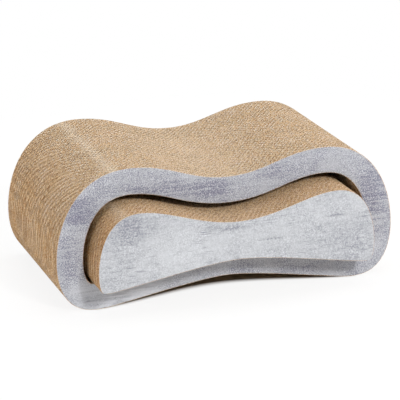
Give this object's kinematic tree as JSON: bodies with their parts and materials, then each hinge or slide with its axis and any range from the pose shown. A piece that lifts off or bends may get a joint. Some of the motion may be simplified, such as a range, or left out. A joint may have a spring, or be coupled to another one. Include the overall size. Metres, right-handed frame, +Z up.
{
  "type": "cat scratcher",
  "caption": "Nesting bone-shaped cat scratching lounges of stacked corrugated board with grey printed faces; the inner lounge slides out of the outer one's cavity.",
  "frame": {"origin": "on the floor, under the middle of the part's bounding box with the inner lounge drawn out as in the picture", "axes": "+X to the right along the width, +Y from the front to the back, +Z up"},
  "size_m": [0.6, 0.3622, 0.239],
  "materials": {
    "outer_board": "matte cut edges of kraft corrugated board",
    "inner_board": "matte cut edges of kraft corrugated board",
    "outer_sheet": "matte print of grey concrete",
    "inner_sheet": "matte print of light grey concrete"
  },
  "bodies": {
    "outer_lounge": {"outer_front_sheet": "outer_sheet", "outer_boards_01": "outer_board", "outer_boards_02": "outer_board", "outer_boards_03": "outer_board", "outer_boards_04": "outer_board", "outer_boards_05": "outer_board", "outer_boards_06": "outer_board", "outer_boards_07": "outer_board", "outer_boards_08": "outer_board", "outer_boards_09": "outer_board", "outer_boards_10": "outer_board", "outer_boards_11": "outer_board", "outer_boards_12": "outer_board", "outer_boards_13": "outer_board", "outer_boards_14": "outer_board", "outer_boards_15": "outer_board", "outer_boards_16": "outer_board", "outer_boards_17": "outer_board", "outer_boards_18": "outer_board", "outer_boards_19": "outer_board", "outer_boards_20": "outer_board", "outer_boards_21": "outer_board", "outer_boards_22": "outer_board", "outer_boards_23": "outer_board", "outer_boards_24": "outer_board", "outer_boards_25": "outer_board", "outer_boards_26": "outer_board", "outer_boards_27": "outer_board", "outer_boards_28": "outer_board", "outer_back_sheet": "outer_sheet"},
    "inner_lounge": {"inner_front_sheet": "inner_sheet", "inner_boards_01": "inner_board", "inner_boards_02": "inner_board", "inner_boards_03": "inner_board", "inner_boards_04": "inner_board", "inner_boards_05": "inner_board", "inner_boards_06": "inner_board", "inner_boards_07": "inner_board", "inner_boards_08": "inner_board", "inner_boards_09": "inner_board", "inner_boards_10": "inner_board", "inner_boards_11": "inner_board", "inner_boards_12": "inner_board", "inner_boards_13": "inner_board", "inner_boards_14": "inner_board", "inner_boards_15": "inner_board", "inner_boards_16": "inner_board", "inner_boards_17": "inner_board", "inner_boards_18": "inner_board", "inner_boards_19": "inner_board", "inner_boards_20": "inner_board", "inner_boards_21": "inner_board", "inner_boards_22": "inner_board", "inner_boards_23": "inner_board", "inner_boards_24": "inner_board", "inner_boards_25": "inner_board", "inner_boards_26": "inner_board", "inner_boards_27": "inner_board", "inner_boards_28": "inner_board", "inner_back_sheet": "inner_sheet"}
  },
  "joints": [
    {"name": "inner_lounge_slide", "type": "slide", "parent": "outer_lounge", "child": "inner_lounge", "axis": [0, -1, 0], "range_m": [-0.055, 0.262]}
  ]
}
